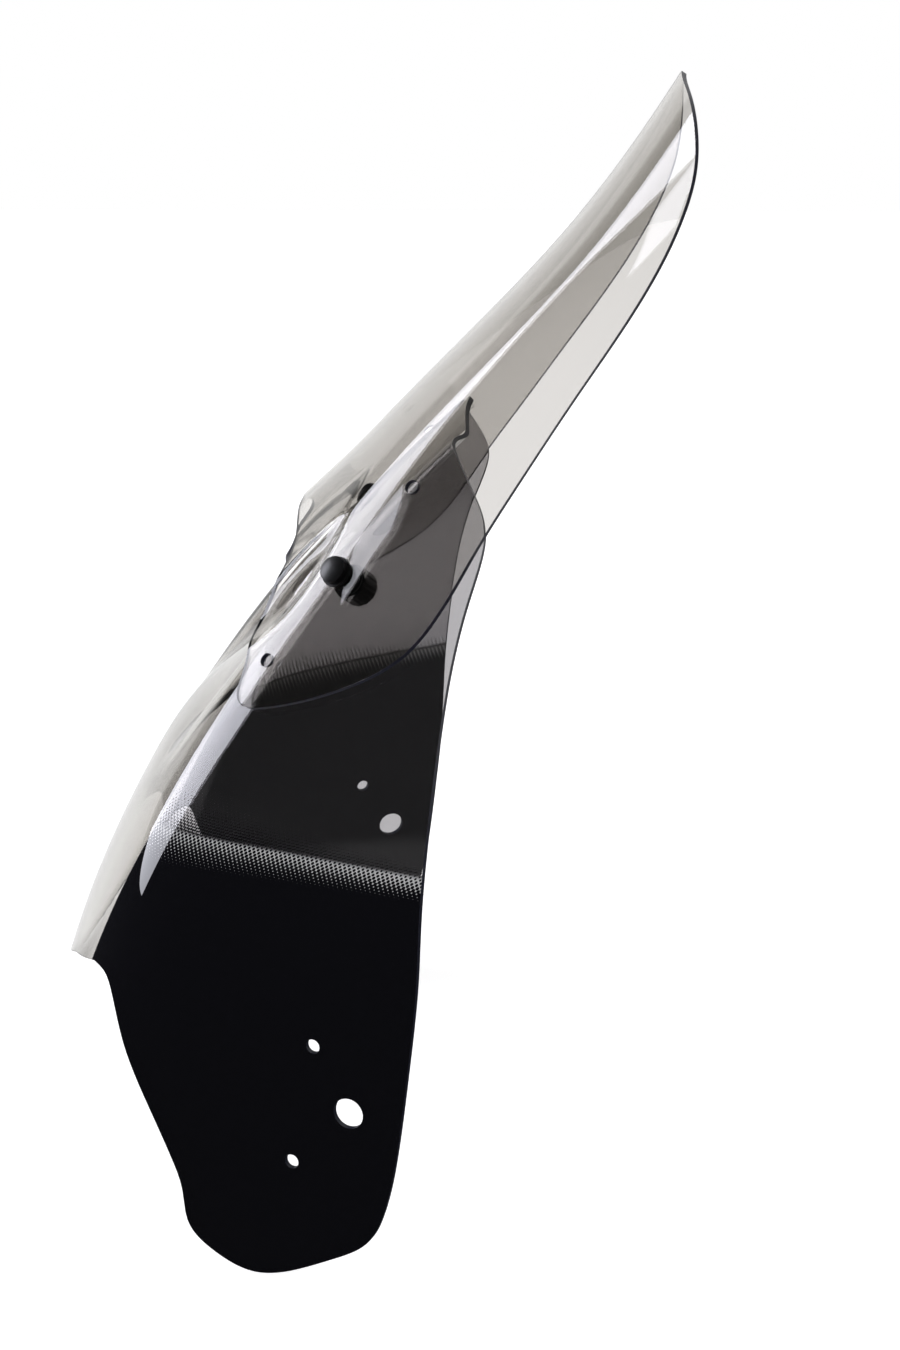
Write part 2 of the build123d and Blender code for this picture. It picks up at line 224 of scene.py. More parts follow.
@dataclass(frozen=True)
class Outline:
    """Half of a sheet's outline as (arc length, height): corners between smooth stretches."""

    stretches: tuple[Points, ...]
    samples: int = 400

    def limits(self, columns: int) -> tuple[np.ndarray, np.ndarray, np.ndarray]:
        """The sheet's lower and upper limit at each column of a grid.

        The stretches run from the lower centre round to the upper centre; the outline is split
        where its arc length is greatest. Columns are spaced as the sine of an even angle, so
        that they crowd together where the outline turns back.

        Args:
            columns: how many columns the whole width has.

        Returns:
            Arc lengths, lower heights and upper heights, each of that many values.
        """
        path = np.concatenate([drawn(stretch, self.samples) for stretch in self.stretches])
        turn = int(np.argmax(path[:, 0]))
        low, high = path[: turn + 1], path[turn:][::-1]
        arcs = path[turn, 0] * np.sin(np.linspace(-math.pi / 2.0, math.pi / 2.0, columns))
        reach = np.abs(arcs)
        rise = [side[np.argsort(side[:, 0], kind="stable")] for side in (low, high)]
        return arcs, *(np.interp(reach, side[:, 0], side[:, 1]) for side in rise)


@dataclass(frozen=True)
class Drill:
    """A round hole: where it is, which way it runs and its radius, all in millimetres."""

    centre: np.ndarray
    axis: np.ndarray
    radius: float
    reach: float = 8.0
    facets: int = 64

    def solid(self, name: str) -> bpy.types.Object:
        """The drill as a closed cylinder: a circle carried along the axis.

        Args:
            name: the new object's name.

        Returns:
            The cylinder, linked into the scene.
        """
        helper = np.array([0.0, 0.0, 1.0])
        u = np.cross(helper, self.axis)
        u /= np.linalg.norm(u)
        v = np.cross(self.axis, u)
        turn = np.linspace(0.0, 2.0 * math.pi, self.facets, endpoint=False)
        ring = self.radius * (np.cos(turn)[:, None] * u + np.sin(turn)[:, None] * v)
        ends = [self.centre + ring + self.axis * self.reach * s for s in (-1.0, 1.0)]
        n = self.facets
        sides = [(i, (i + 1) % n, (i + 1) % n + n, i + n) for i in range(n)]
        caps = [tuple(range(n))[::-1], tuple(range(n, 2 * n))]
        mesh = bpy.data.meshes.new(name)
        mesh.from_pydata((np.concatenate(ends) * MM).tolist(), [], sides + caps)
        return link(bpy.data.objects.new(name, mesh))


def link(piece: bpy.types.Object) -> bpy.types.Object:
    """Put an object into the scene and return it."""
    bpy.context.scene.collection.objects.link(piece)
    return piece


def applied(piece: bpy.types.Object) -> None:
    """Replace a piece's mesh by the result of its modifiers, and drop them.

    Args:
        piece: the object to change.
    """
    graph = bpy.context.evaluated_depsgraph_get()
    mesh = bpy.data.meshes.new_from_object(piece.evaluated_get(graph))
    piece.modifiers.clear()
    piece.data = mesh


@dataclass
class Sheet:
    """A formed acrylic sheet of even thickness, cut to an outline and drilled."""

    name: str
    node: str
    outline: Outline
    columns: int
    rows: int
    form: MasterForm = field(default_factory=MasterForm)
    thickness: float = 3.0
    edge_round: float = 1.4
    edge_segments: int = 2
    edge_angle: float = 50.0

    def proud(self, arc: np.ndarray, height: np.ndarray) -> np.ndarray:
        """How far the sheet's middle stands out from the master form."""
        raise NotImplementedError

    def drills(self) -> list[Drill]:
        """The sheet's holes."""
        raise NotImplementedError

    def middle(self, arc: np.ndarray, height: np.ndarray, stand: float = 0.0) -> np.ndarray:
        """Points of the sheet, stand millimetres outside its middle surface."""
        rise = (self.proud(arc, height) + stand)[..., None]
        return self.form.points(arc, height) + self.form.normals(arc, height) * rise

    def build(self, finishes: list[bpy.types.Material]) -> bpy.types.Object:
        """Make the sheet's mesh.

        The grid's columns keep one arc length each and its rows go evenly from the lower to the
        upper limit, so that the grid ends on the outline. Outer and inner grids are the form's
        points plus and minus half the thickness along the normal, joined by a rim.

        Args:
            finishes: materials for the faces and the edge.

        Returns:
            The finished piece.
        """
        arcs, low, high = self.outline.limits(self.columns)
        share = np.linspace(0.0, 1.0, self.rows)[:, None]
        height = low + (high - low) * share
        arc = np.broadcast_to(arcs, height.shape)
        normal = self.form.normals(arc, height)
        base = self.form.points(arc, height)
        rise = self.proud(arc, height)
        half = self.thickness / 2.0
        skins = [base + normal * (rise + s * half)[..., None] for s in (1.0, -1.0)]
        spots = np.concatenate([skin.reshape(-1, 3) for skin in skins]) * MM
        index = np.arange(self.rows * self.columns).reshape(self.rows, self.columns)
        quads = np.stack([index[:-1, :-1], index[:-1, 1:], index[1:, 1:], index[1:, :-1]], -1).reshape(-1, 4)
        count = self.rows * self.columns
        around = np.concatenate([index[0, :-1], index[:-1, -1], index[-1, :0:-1], index[:0:-1, 0]])
        ahead = np.roll(around, -1)
        rim = np.stack([ahead, around, around + count, ahead + count], -1)
        faces = np.concatenate([quads, quads[:, ::-1] + count, rim])
        mesh = bpy.data.meshes.new(self.name)
        mesh.from_pydata(spots.tolist(), [], faces.tolist())
        mesh.polygons.foreach_set("material_index", np.repeat([0, 0, 1], [len(quads), len(quads), len(rim)]))
        layer = mesh.uv_layers.new(name="sheet")
        corners = np.zeros(len(mesh.loops), np.int32)
        mesh.loops.foreach_get("vertex_index", corners)
        flat = np.stack([arc.ravel(), height.ravel()], -1)[corners % count] * MM
        layer.data.foreach_set("uv", flat.ravel())
        for finish in finishes:
            mesh.materials.append(finish)
        work = bmesh.new()
        work.from_mesh(mesh)
        bmesh.ops.remove_doubles(work, verts=work.verts, dist=WELD)
        bmesh.ops.dissolve_degenerate(work, edges=work.edges, dist=WELD)
        work.to_mesh(mesh)
        work.free()
        piece = link(bpy.data.objects.new(self.name, mesh))
        self.drilled(piece)
        self.rounded(piece)
        LOG.info("%s: %d faces", self.name, len(piece.data.polygons))
        return piece

    def drilled(self, piece: bpy.types.Object) -> None:
        """Cut the holes through the sheet.

        Args:
            piece: the sheet's object.
        """
        tools = [drill.solid(f"drill_{i}") for i, drill in enumerate(self.drills())]
        for tool in tools:
            # the hole walls take the edge finish, with its painted shade
            tool.data.materials.append(piece.data.materials[Rim.EDGE.value])
            cut = piece.modifiers.new("hole", "BOOLEAN")
            cut.operation, cut.object, cut.solver = "DIFFERENCE", tool, "EXACT"
            cut.material_mode = "TRANSFER"
        applied(piece)
        for tool in tools:
            bpy.data.objects.remove(tool)

    def rounded(self, piece: bpy.types.Object) -> None:
        """Round the sheet's edges and shade its faces evenly.

        Args:
            piece: the sheet's object.
        """
        bevel = piece.modifiers.new("edge", "BEVEL")
        bevel.width, bevel.segments = self.edge_round * MM, self.edge_segments
        bevel.limit_method, bevel.angle_limit = "ANGLE", math.radians(self.edge_angle)
        bevel.use_clamp_overlap = True
        # the rounded rims take the edge finish, with its painted shade
        bevel.material = Rim.EDGE.value
        applied(piece)
        piece.data.shade_smooth()
        piece.data.set_sharp_from_angle(angle=math.radians(self.edge_angle))
        even = piece.modifiers.new("even", "WEIGHTED_NORMAL")
        even.keep_sharp = True
        applied(piece)


BASE_OUTLINE = Outline(
    (
        ((0.0, 2.0), (30.0, 10.0), (61.0, 25.0), (92.0, 37.0), (108.0, 43.0)),
        (
            ((108.0, 43.0), (122.0, 42.0), (133.0, 33.0), (149.0, 12.0), (174.0, -18.0), (199.0, -48.0))
            + ((209.0, -63.0), (217.0, -80.0), (236.0, -93.0), (261.0, -99.0), (300.0, -82.0))
            + ((317.0, -67.0), (320.0, -50.0), (317.0, -19.0), (306.0, 31.0), (291.0, 78.0), (275.0, 110.0))
            + ((252.0, 146.0), (224.0, 180.0), (193.0, 213.0), (163.0, 247.0), (136.0, 277.0))
            + ((115.0, 291.0), (92.0, 304.0), (74.0, 314.0), (50.0, 326.0), (0.0, 338.0))
        ),
    )
)
BLADE_OUTLINE = Outline(
    (
        (
            ((0.0, 263.0), (28.0, 258.0), (46.0, 250.0), (64.0, 228.0), (78.0, 213.0), (93.0, 200.0))
            + ((102.0, 189.0), (109.0, 185.0), (124.0, 187.0), (148.0, 198.0), (165.0, 217.0), (162.0, 235.0))
            + ((146.0, 267.0), (130.0, 300.0), (112.0, 340.0), (96.0, 382.0), (79.0, 423.0))
            + ((68.0, 443.0), (55.0, 459.0), (30.0, 478.0), (0.0, 488.0))
        ),
    )
)

ROW_MIDDLE = (92.0, 249.0)  # arc length and height of each row's middle hole, where the fastener sits
ROW_RADIUS = 3.6
ROW_REACH = 5.0  # half the length of the drills in the rows


@dataclass
class BaseScreen(Sheet):
    """The base: a wrap-around sheet with an air channel at the top and three holes in each wing."""

    name: str = "base_screen_sheet"
    node: str = "base_screen"
    outline: Outline = BASE_OUTLINE
    columns: int = 301
    rows: int = 140
    channel_depth: float = 16.0
    channel_arcs: tuple[float, float] = (44.0, 80.0)
    channel_heights: tuple[float, float] = (120.0, 220.0)
    main_radius: float = 8.0
    small_radius: float = 3.75
    small_holes: Points = ((-18.0, 32.0), (-30.0, -33.0))
    fastener: tuple[float, float] = ROW_MIDDLE
    fastener_radius: float = ROW_RADIUS
    search_arc: float = 320.0

    def proud(self, arc: np.ndarray, height: np.ndarray) -> np.ndarray:
        """Minus the channel: an S down its wall times an S up its length.

        Args:
            arc: arc lengths from the centre line, negative on the right-hand side.
            height: heights, shaped like arc.

        Returns:
            Millimetres that the sheet's middle stands out from the form.
        """
        low, full = self.channel_heights
        floor, brim = self.channel_arcs
        wall = 1.0 - smooth((np.abs(arc) - floor) / (brim - floor))
        return -self.channel_depth * smooth((height - low) / (full - low)) * wall

    def arc_at(self, back: float, height: float) -> float:
        """The arc length where the form reaches a Y at a height, by bisection.

        Args:
            back: the Y to reach.
            height: the height.

        Returns:
            The arc length on the left-hand side.
        """
        low, high = 0.0, self.search_arc
        for _ in range(BISECTIONS):
            middle = 0.5 * (low + high)
            y = self.form.points(np.array([middle]), np.array([height]))[0, 1]
            low, high = (middle, high) if y < back else (low, middle)
        return low

    def drills(self) -> list[Drill]:
        """The wing holes, all along the wing's normal at its main hole, and the fastener's hole.

        Returns:
            A drill for each hole, on both sides.
        """
        drills = []
        for side in Side:
            spots = [(0.0, 0.0, self.main_radius)] + [(*hole, self.small_radius) for hole in self.small_holes]
            main = np.array([side.value * self.arc_at(0.0, 0.0)])
            axis = self.form.normals(main, np.array([0.0]))[0]
            for back, up, radius in spots:
                arc = np.array([side.value * self.arc_at(back, up)])
                drills.append(Drill(self.form.points(arc, np.array([up]))[0], axis, radius))
            arc, height = np.array([side.value * self.fastener[0]]), np.array([self.fastener[1]])
            axis = self.form.normals(arc, height)[0]
            drills.append(Drill(self.form.points(arc, height)[0], axis, self.fastener_radius, ROW_REACH))
        return drills


@dataclass
class SpoilerBlade(Sheet):
    """The blade: a sheet in front of the base, hooded in the middle, dented beside each hole row."""

    name: str = "spoiler_blade_sheet"
    node: str = "spoiler_blade"
    outline: Outline = BLADE_OUTLINE
    columns: int = 281
    rows: int = 150
    gap: float = 5.0
    hood_rise: float = 7.0
    hood_arc: float = 62.0
    hood_heights: tuple[float, float] = (230.0, 310.0)
    dent_depth: float = 3.4
    dent_inset: tuple[float, float] = (20.0, 9.0)  # inwards and down from the row's middle hole
    dent_half: tuple[float, float] = (15.0, 36.0)
    dent_lean: float = -0.2
    dent_taper: float = 0.45
    dent_steepness: float = 1.6
    row_middle: tuple[float, float] = ROW_MIDDLE
    row_lean: float = -0.21
    row_pitch: float = 57.0
    row_radius: float = ROW_RADIUS

    @property
    def dent_centre(self) -> tuple[float, float]:
        """Arc length and height of the dent's centre."""
        return self.row_middle[0] - self.dent_inset[0], self.row_middle[1] - self.dent_inset[1]

    def proud(self, arc: np.ndarray, height: np.ndarray) -> np.ndarray:
        """The gap and a sheet, plus the hood's S over the middle, minus the dents' S in a teardrop.

        Args:
            arc: arc lengths from the centre line, negative on the right-hand side.
            height: heights, shaped like arc.

        Returns:
            Millimetres that the sheet's middle stands out from the form.
        """
        reach = np.abs(arc)
        full, end = self.hood_heights
        hood = self.hood_rise * smooth(1.0 - reach / self.hood_arc) * smooth((end - height) / (end - full))
        up = (height - self.dent_centre[1]) / self.dent_half[1]
        across = reach - self.dent_centre[0] - self.dent_lean * (height - self.dent_centre[1])
        width = self.dent_half[0] * (1.0 - self.dent_taper * np.minimum(up, 1.0))
        dent = self.dent_depth * smooth(self.dent_steepness * (1.0 - np.hypot(up, across / width)))
        return self.gap + self.thickness + hood - dent

    def row_heights(self) -> list[float]:
        """Heights of the three holes of a row, a pitch apart on the blade, by bisection.

        Returns:
            The heights of the middle, the lower and the upper hole.
        """
        arc, height = self.row_middle

        def spot(level: float) -> np.ndarray:
            """The point of the row's line at a height."""
            along = np.array([arc + self.row_lean * (level - height)])
            return self.middle(along, np.array([level]))[0]

        found = [height]
        for sign in (-1.0, 1.0):
            near, far = height, height + sign * self.row_pitch
            for _ in range(BISECTIONS):
                level = 0.5 * (near + far)
                inside = np.linalg.norm(spot(level) - spot(height)) < self.row_pitch
                near, far = (level, far) if inside else (near, level)
            found.append(near)
        return found

    def drills(self) -> list[Drill]:
        """The three holes of each row, each along the form's normal.

        Returns:
            A drill for each hole, on both sides.
        """
        drills = []
        for side in Side:
            for level in self.row_heights():
                lean = self.row_lean * (level - self.row_middle[1])
                arc = np.array([side.value * (self.row_middle[0] + lean)])
                height = np.array([level])
                axis = self.form.normals(arc, height)[0]
                spot = self.form.points(arc, height)[0] + axis * (self.gap + self.thickness)
                drills.append(Drill(spot, axis, self.row_radius, ROW_REACH))
        return drills


# ---- finishes ----------------------------------------------------------------------------------


ACRYLIC_INDEX = 1.49
Value = bpy.types.NodeSocket | float | tuple[float, ...]


class Nodes:
    """A short way to write the nodes of a material or of the surroundings."""

    def __init__(self, tree: bpy.types.NodeTree) -> None:
        """Work on a node tree."""
        self.tree = tree

    def find(self, kind: str) -> bpy.types.Node:
        """The tree's first node of a type."""
        return next(node for node in self.tree.nodes if node.type == kind)

    def add(self, kind: str, **settings: object) -> bpy.types.Node:
        """Add a node.

        Args:
            kind: the node's type.
            **settings: values for the node's properties.

        Returns:
            The new node.
        """
        node = self.tree.nodes.new(kind)
        for key, value in settings.items():
            setattr(node, key, value)
        return node

    def feed(self, socket: bpy.types.NodeSocket, value: Value) -> None:
        """Link a socket to an output, or set it to a value.

        Args:
            socket: the input.
            value: an output, a number or a colour.
        """
        if isinstance(value, bpy.types.NodeSocket):
            self.tree.links.new(value, socket)
        else:
            socket.default_value = value

    def math(self, operation: str, *values: Value, clamp: bool = False) -> bpy.types.NodeSocket:
        """Work out a number.

        Args:
            operation: the Math node's operation.
            *values: numbers or outputs, in the order of its inputs.
            clamp: keep the result between 0 and 1.

        Returns:
            The result.
        """
        node = self.add("ShaderNodeMath", operation=operation, use_clamp=clamp)
        for socket, value in zip(node.inputs, values):
            self.feed(socket, value)
        return node.outputs[0]

    def mix(self, share: Value, first: Value, second: Value) -> bpy.types.NodeSocket:
        """A number that goes from the first to the second as the share goes from 0 to 1.

        Args:
            share: the second's share.
            first: a number or an output.
            second: a number or an output.

        Returns:
            The mixed number.
        """
        node = self.add("ShaderNodeMix")
        for socket, value in zip((node.inputs[0], node.inputs[2], node.inputs[3]), (share, first, second)):
            self.feed(socket, value)
        return node.outputs[0]

    def blend(self, share: Value, first: Value, second: Value) -> bpy.types.NodeSocket:
        """A colour that goes from the first to the second as the share goes from 0 to 1.

        Args:
            share: the second's share.
            first: a colour or an output.
            second: a colour or an output.

        Returns:
            The blended colour.
        """
        node = self.add("ShaderNodeMix", data_type="RGBA")
        for socket, value in zip((node.inputs[0], node.inputs[6], node.inputs[7]), (share, first, second)):
            self.feed(socket, value)
        return node.outputs[2]

    def ramp(
        self,
        value: Value,
        span: tuple[float, float],
        ends: tuple[float, float] = (0.0, 1.0),
        kind: str = "SMOOTHSTEP",
    ) -> bpy.types.NodeSocket:
        """Carry a span of values over to another span, held at both ends.

        Args:
            value: what to carry over.
            span: the values where the result starts and stops changing.
            ends: the results there.
            kind: how the result goes between them.

        Returns:
            The result.
        """
        node = self.add("ShaderNodeMapRange", interpolation_type=kind)
        for socket, setting in zip(node.inputs[:5], (value, *span, *ends)):
            self.feed(socket, setting)
        return node.outputs[0]


class MaterialNodes(Nodes):
    """The nodes of a new material, which starts with only a Principled shader and its output."""

    def __init__(self, name: str) -> None:
        """Make the material.

        Args:
            name: the material's name.
        """
        self.material = bpy.data.materials.new(name)
        self.material.use_nodes = True
        super().__init__(self.material.node_tree)
        self.shader = self.find("BSDF_PRINCIPLED")

    def grained(self, scale: float, detail: float, roughness: float, spread: float) -> bpy.types.NodeSocket:
        """Vary the shader's roughness by noise.

        Args:
            scale: the noise's scale.
            detail: the noise's detail.
            roughness: the middle roughness.
            spread: how far the roughness goes to either side.

        Returns:
            The noise.
        """
        noise = self.add("ShaderNodeTexNoise")
        self.feed(noise.inputs["Vector"], self.add("ShaderNodeTexCoord").outputs["Object"])
        self.feed(noise.inputs["Scale"], scale)
        self.feed(noise.inputs["Detail"], detail)
        ends = (roughness - spread, roughness + spread)
        self.feed(self.shader.inputs["Roughness"], self.ramp(noise.outputs[0], (0.0, 1.0), ends, "LINEAR"))
        return noise.outputs[0]


def either_side(middle: float, reach: float) -> tuple[float, float]:
    """The span that reaches equally far to both sides of a value."""
    return middle - reach, middle + reach


@dataclass(frozen=True)
class Acrylic:
    """Tinted acrylic, clear or with smoked side panels and printed wings, with a glare painted pale between
    the print's dots.

    Lines across the sheet are (height at the centre line, rise per arc length), in metres.
    """

    name: str
    tint: tuple[float, float, float] = (0.62, 0.602, 0.576)
    smoke: tuple[float, float, float] = (0.37, 0.36, 0.365)
    ink: tuple[float, float, float] = (0.0035, 0.0035, 0.005)
    lining: tuple[float, float, float] = (0.075, 0.075, 0.078)  # the print seen from inside
    # painted glare: a pale opaque colour in the gaps between the dots, standing in for a bright glare on the
    # wings
    pale: tuple[float, float, float] = (0.5, 0.5, 0.49)
    roughness: float = 0.012
    index: float = ACRYLIC_INDEX
    printed: bool = False
    smoke_edge: tuple[float, float] = (0.1303, -0.2275)  # arc length at height 0, and its change with height
    smoke_blur: float = 0.003
    front_arc: float = 0.105  # where the print starts
    front_blur: float = 0.0004
    dot_pitch: float = 0.0027
    dot_radius: float = 0.5  # of the largest dots, in pitches
    dot_blur: float = 0.02
    # how soft the top line of the painted glare band is
    pale_blur: float = 0.0015
    dots_top: tuple[float, float] = (0.1555, -0.072)
    solid_top: tuple[float, float] = (0.095, 0.085)
    # the top line of the band where glare is painted into the dot gaps
    pale_top: tuple[float, float] = (0.1175, 0.045)

    def material(self) -> bpy.types.Material:
        """Make the acrylic: glass-clear, smoked down the sides, opaque where the print is, and pale and
        opaque where a glare is painted between its dots.

        Returns:
            The material.
        """
        nodes = MaterialNodes(self.name)
        shader = nodes.shader
        shader.inputs["Base Color"].default_value = (*self.tint, 1.0)
        shader.inputs["Roughness"].default_value = self.roughness
        shader.inputs["IOR"].default_value = self.index
        shader.inputs["Transmission Weight"].default_value = 1.0
        if self.printed:
            split = nodes.add("ShaderNodeSeparateXYZ")
            nodes.feed(split.inputs[0], nodes.add("ShaderNodeUVMap", uv_map="sheet").outputs[0])
            arc, height = nodes.math("ABSOLUTE", split.outputs[0]), split.outputs[1]
            edge = nodes.math("MULTIPLY_ADD", height, self.smoke_edge[1], self.smoke_edge[0])
            smoked = nodes.ramp(nodes.math("SUBTRACT", arc, edge), either_side(0.0, self.smoke_blur))
            # the second mask is painted glare: pale, opaque gaps between the dots
            ink, pale = self.print_masks(nodes, arc, height)
            colour = nodes.blend(smoked, (*self.tint, 1.0), (*self.smoke, 1.0))
            colour = nodes.blend(pale, colour, (*self.pale, 1.0))
            print_colour = nodes.blend(self.inside(nodes), (*self.ink, 1.0), (*self.lining, 1.0))
            nodes.feed(shader.inputs["Base Color"], nodes.blend(ink, colour, print_colour))
            cover = nodes.math("MAXIMUM", ink, pale)
            nodes.feed(shader.inputs["Transmission Weight"], nodes.math("SUBTRACT", 1.0, cover))
        return nodes.material

    def inside(self, nodes: Nodes) -> bpy.types.NodeSocket:
        """Tell the side panels' inner faces, where the normal points to the centre plane.

        Args:
            nodes: the material.

        Returns:
            1 on the inner faces, else 0.
        """
        across = []
        for node, output in (("ShaderNodeTexCoord", "Object"), ("ShaderNodeNewGeometry", "Normal")):
            split = nodes.add("ShaderNodeSeparateXYZ")
            nodes.feed(split.inputs[0], nodes.add(node).outputs[output])
            across.append(split.outputs[0])
        return nodes.math("LESS_THAN", nodes.math("MULTIPLY", *across), 0.0)

    def print_masks(
        self, nodes: Nodes, arc: bpy.types.NodeSocket, height: bpy.types.NodeSocket
    ) -> tuple[bpy.types.NodeSocket, bpy.types.NodeSocket]:
        """Where ink lies, and where a glare is painted as pale, opaque gaps between its dots.

        All is ink below the solid line. Above it staggered dots shrink: a dot's radius goes with
        its share, which falls from 1 at the solid line to 0 at the dots' top line.

        Args:
            nodes: the material.
            arc: arc length from the centre line.
            height: height.

        Returns:
            The masks of the ink and of the glare painted in the gaps.
        """
        lines = (self.dots_top, self.solid_top, self.pale_top)
        top, solid, pale_top = (nodes.math("MULTIPLY_ADD", arc, rise, start) for start, rise in lines)
        gone = nodes.math("SUBTRACT", top, height)
        share = nodes.math("DIVIDE", gone, nodes.math("SUBTRACT", top, solid), clamp=True)
        cells = []
        for offset in (0.0, 0.5):
            places = []
            for value in (arc, height):
                cell = nodes.math("MULTIPLY_ADD", value, 1.0 / self.dot_pitch, offset)
                places.append(nodes.math("SUBTRACT", nodes.math("FRACT", cell), 0.5))
            squares = [nodes.math("MULTIPLY", place, place) for place in places]
            cells.append(nodes.math("SQRT", nodes.math("ADD", *squares)))
        nearest = nodes.math("MINIMUM", *cells)
        radius = nodes.math("MULTIPLY", share, self.dot_radius)
        dots = nodes.ramp(nodes.math("SUBTRACT", radius, nearest), either_side(0.0, self.dot_blur))
        wing = nodes.ramp(arc, either_side(self.front_arc, self.front_blur))
        # painted glare: the band below its top line, where the gaps are painted pale
        painted_glare_band = nodes.ramp(nodes.math("SUBTRACT", pale_top, height), either_side(0.0, self.pale_blur))
        return nodes.math("MULTIPLY", dots, wing), nodes.math("MULTIPLY", painted_glare_band, wing)


@dataclass(frozen=True)
class Moulded:
    """A solid finish with a fine procedural grain: moulded plastic, rubber or metal."""

    name: str
    colour: tuple[float, float, float]
    roughness: float
    metallic: float = 0.0
    grain: float = 900.0
    detail: float = 3.0
    depth: float = 0.05
    lift: float = 0.0004
    spread: float = 0.08

    def material(self) -> bpy.types.Material:
        """Make the finish: noise varies its roughness and lifts its surface a little.

        Returns:
            The material.
        """
        nodes = MaterialNodes(self.name)
        nodes.shader.inputs["Base Color"].default_value = (*self.colour, 1.0)
        nodes.shader.inputs["Metallic"].default_value = self.metallic
        noise = nodes.grained(self.grain, self.detail, self.roughness, self.spread)
        bump = nodes.add("ShaderNodeBump")
        bump.inputs["Strength"].default_value = self.depth
        bump.inputs["Distance"].default_value = self.lift
        nodes.feed(bump.inputs["Height"], noise)
        nodes.feed(nodes.shader.inputs["Normal"], bump.outputs[0])
        return nodes.material


@dataclass(frozen=True)
class SheetEdge:
    """The cut and flame-polished edge of the acrylic, with painted shade: a dark navy, darker and bluer than
    its faces, stands in for the shade along the clear edges.
    """

    name: str = "acrylic_edge_painted_shade"
    # painted shade: this dark navy stands in for the shade seen along the clear edges and in the hole walls
    colour: tuple[float, float, float] = (0.018, 0.02, 0.038)
    roughness: float = 0.4
    spread: float = 0.08
    grain: float = 400.0
    detail: float = 2.0
    clearness: float = 0.1
    shine: float = 0.25
    index: float = ACRYLIC_INDEX

    def material(self) -> bpy.types.Material:
        """Make dark acrylic with painted shade in its colour, hardly clear, with faint saw marks.

        Returns:
            The material.
        """
        nodes = MaterialNodes(self.name)
        nodes.shader.inputs["Base Color"].default_value = (*self.colour, 1.0)
        nodes.shader.inputs["Transmission Weight"].default_value = self.clearness
        nodes.shader.inputs["Specular IOR Level"].default_value = self.shine
        nodes.shader.inputs["IOR"].default_value = self.index
        nodes.grained(self.grain, self.detail, self.roughness, self.spread)
        return nodes.material


# ---- fasteners ---------------------------------------------------------------------------------


@dataclass
class FastenerStack:
    """The screw, washers and hand knob of one side: CAD nodes in their finishes."""

    side: Side
    finishes: dict[str, bpy.types.Material]

    def dress(self, nodes: dict[str, bpy.types.Object]) -> None:
        """Give each of the side's nodes its finish.

        Args:
            nodes: the frame's objects by node name.
        """
        for part, finish in self.finishes.items():
            piece = nodes[f"{self.side.label}_{part}"]
            piece.data.materials.clear()
            piece.data.materials.append(finish)
            LOG.info("%s: %s", piece.name, finish.name)


# ---- studio ------------------------------------------------------------------------------------


@dataclass(frozen=True)
class Softbox:
    """A soft lamp: the direction that it lies in, the angles that it covers and its brightness."""

    name: str
    direction: tuple[float, float]  # degrees from +X towards +Y, and above the horizon
    spread: tuple[float, float]  # degrees across and up
    brightness: float  # 1 is the brightness of white
    colour: tuple[float, float, float] = (0.9, 0.91, 1.0)
    distance: float = 8.0


